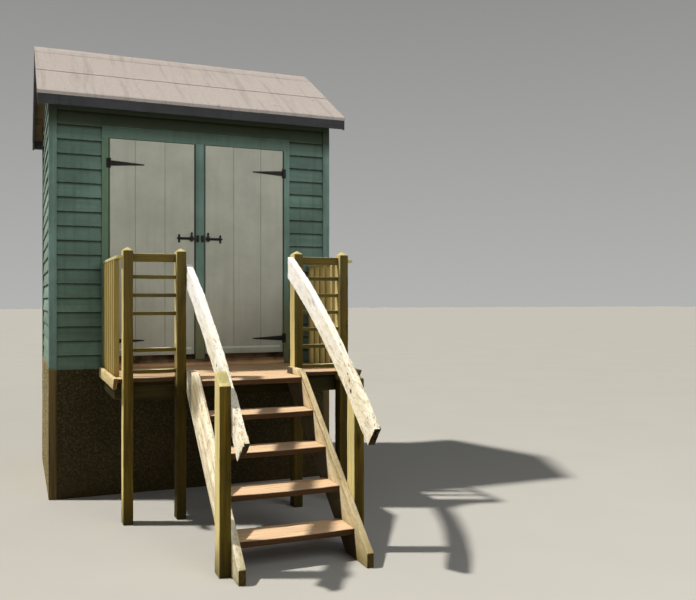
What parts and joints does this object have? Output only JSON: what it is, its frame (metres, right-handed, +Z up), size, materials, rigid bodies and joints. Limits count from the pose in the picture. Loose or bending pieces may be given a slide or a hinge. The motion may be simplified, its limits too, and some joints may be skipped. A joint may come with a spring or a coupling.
{
  "type": "boarded timber hut on a masonry plinth with a deck and stair",
  "caption": "Small weatherboarded hut with a pitched felt roof and double doors, raised on a masonry plinth, reached by an open timber stair and a railed deck.",
  "frame": {"origin": "on the ground, under the middle of the whole object", "axes": "+Y from the foot of the stair to the back of the hut, +X to the right as one faces the doors, +Z up"},
  "size_m": [2.614, 4.57, 3.9229],
  "materials": {
    "masonry": "roughcast, weathered",
    "inside_timber": "bare sawn softwood",
    "green_paint": "sage green paint on sawn boards, weathered",
    "roof_felt": "mineral-faced bitumen felt",
    "slate_paint": "slate grey paint",
    "white_paint": "off-white paint",
    "black_iron": "black japanned iron",
    "deck_timber": "worn red-brown boards",
    "post_timber": "treated softwood, olive brown",
    "weathered_timber": "bleached, flaking boards"
  },
  "bodies": {
    "hut": {"plinth_front": "masonry", "plinth_back": "masonry", "plinth_left": "masonry", "plinth_right": "masonry", "floor": "inside_timber", "roof_timbers": "inside_timber", "corner_posts": "green_paint", "front_wall_left": "green_paint", "front_wall_right": "green_paint", "front_wall_top": "green_paint", "back_wall": "green_paint", "left_gable_wall": "green_paint", "right_gable_wall": "green_paint", "door_jambs": "green_paint", "door_head": "green_paint", "door_mullion": "green_paint", "roof_front": "roof_felt", "roof_back": "roof_felt", "ridge_felt": "roof_felt", "fascia_boards": "slate_paint", "bargeboards": "slate_paint", "hinge_plates": "black_iron", "bolt_keeper": "black_iron", "door_sill": "deck_timber", "deck_boards": "deck_timber", "stair_treads": "deck_timber", "deck_joists": "post_timber", "deck_corner_posts": "post_timber", "newels": "post_timber", "low_posts": "post_timber", "front_panel_left": "post_timber", "front_panel_right": "post_timber", "side_railing_left": "post_timber", "side_railing_right": "post_timber", "deck_edge_boards": "weathered_timber", "stringers": "weathered_timber", "handrail_left": "weathered_timber", "handrail_right": "weathered_timber"},
    "left_leaf": {"left_door": "white_paint", "left_door_straps": "black_iron", "left_bolt": "black_iron"},
    "right_leaf": {"right_door": "white_paint", "right_door_straps": "black_iron", "right_bolt": "black_iron"}
  },
  "joints": [
    {"name": "left_door_hinge", "type": "hinge", "parent": "hut", "child": "left_leaf", "pos_m": [-0.7405, 0.296, 1.278], "axis": [0, 0, -1], "range_deg": [0, 80]},
    {"name": "right_door_hinge", "type": "hinge", "parent": "hut", "child": "right_leaf", "pos_m": [0.7645, 0.296, 1.278], "axis": [0, 0, 1], "range_deg": [0, 100]}
  ]
}
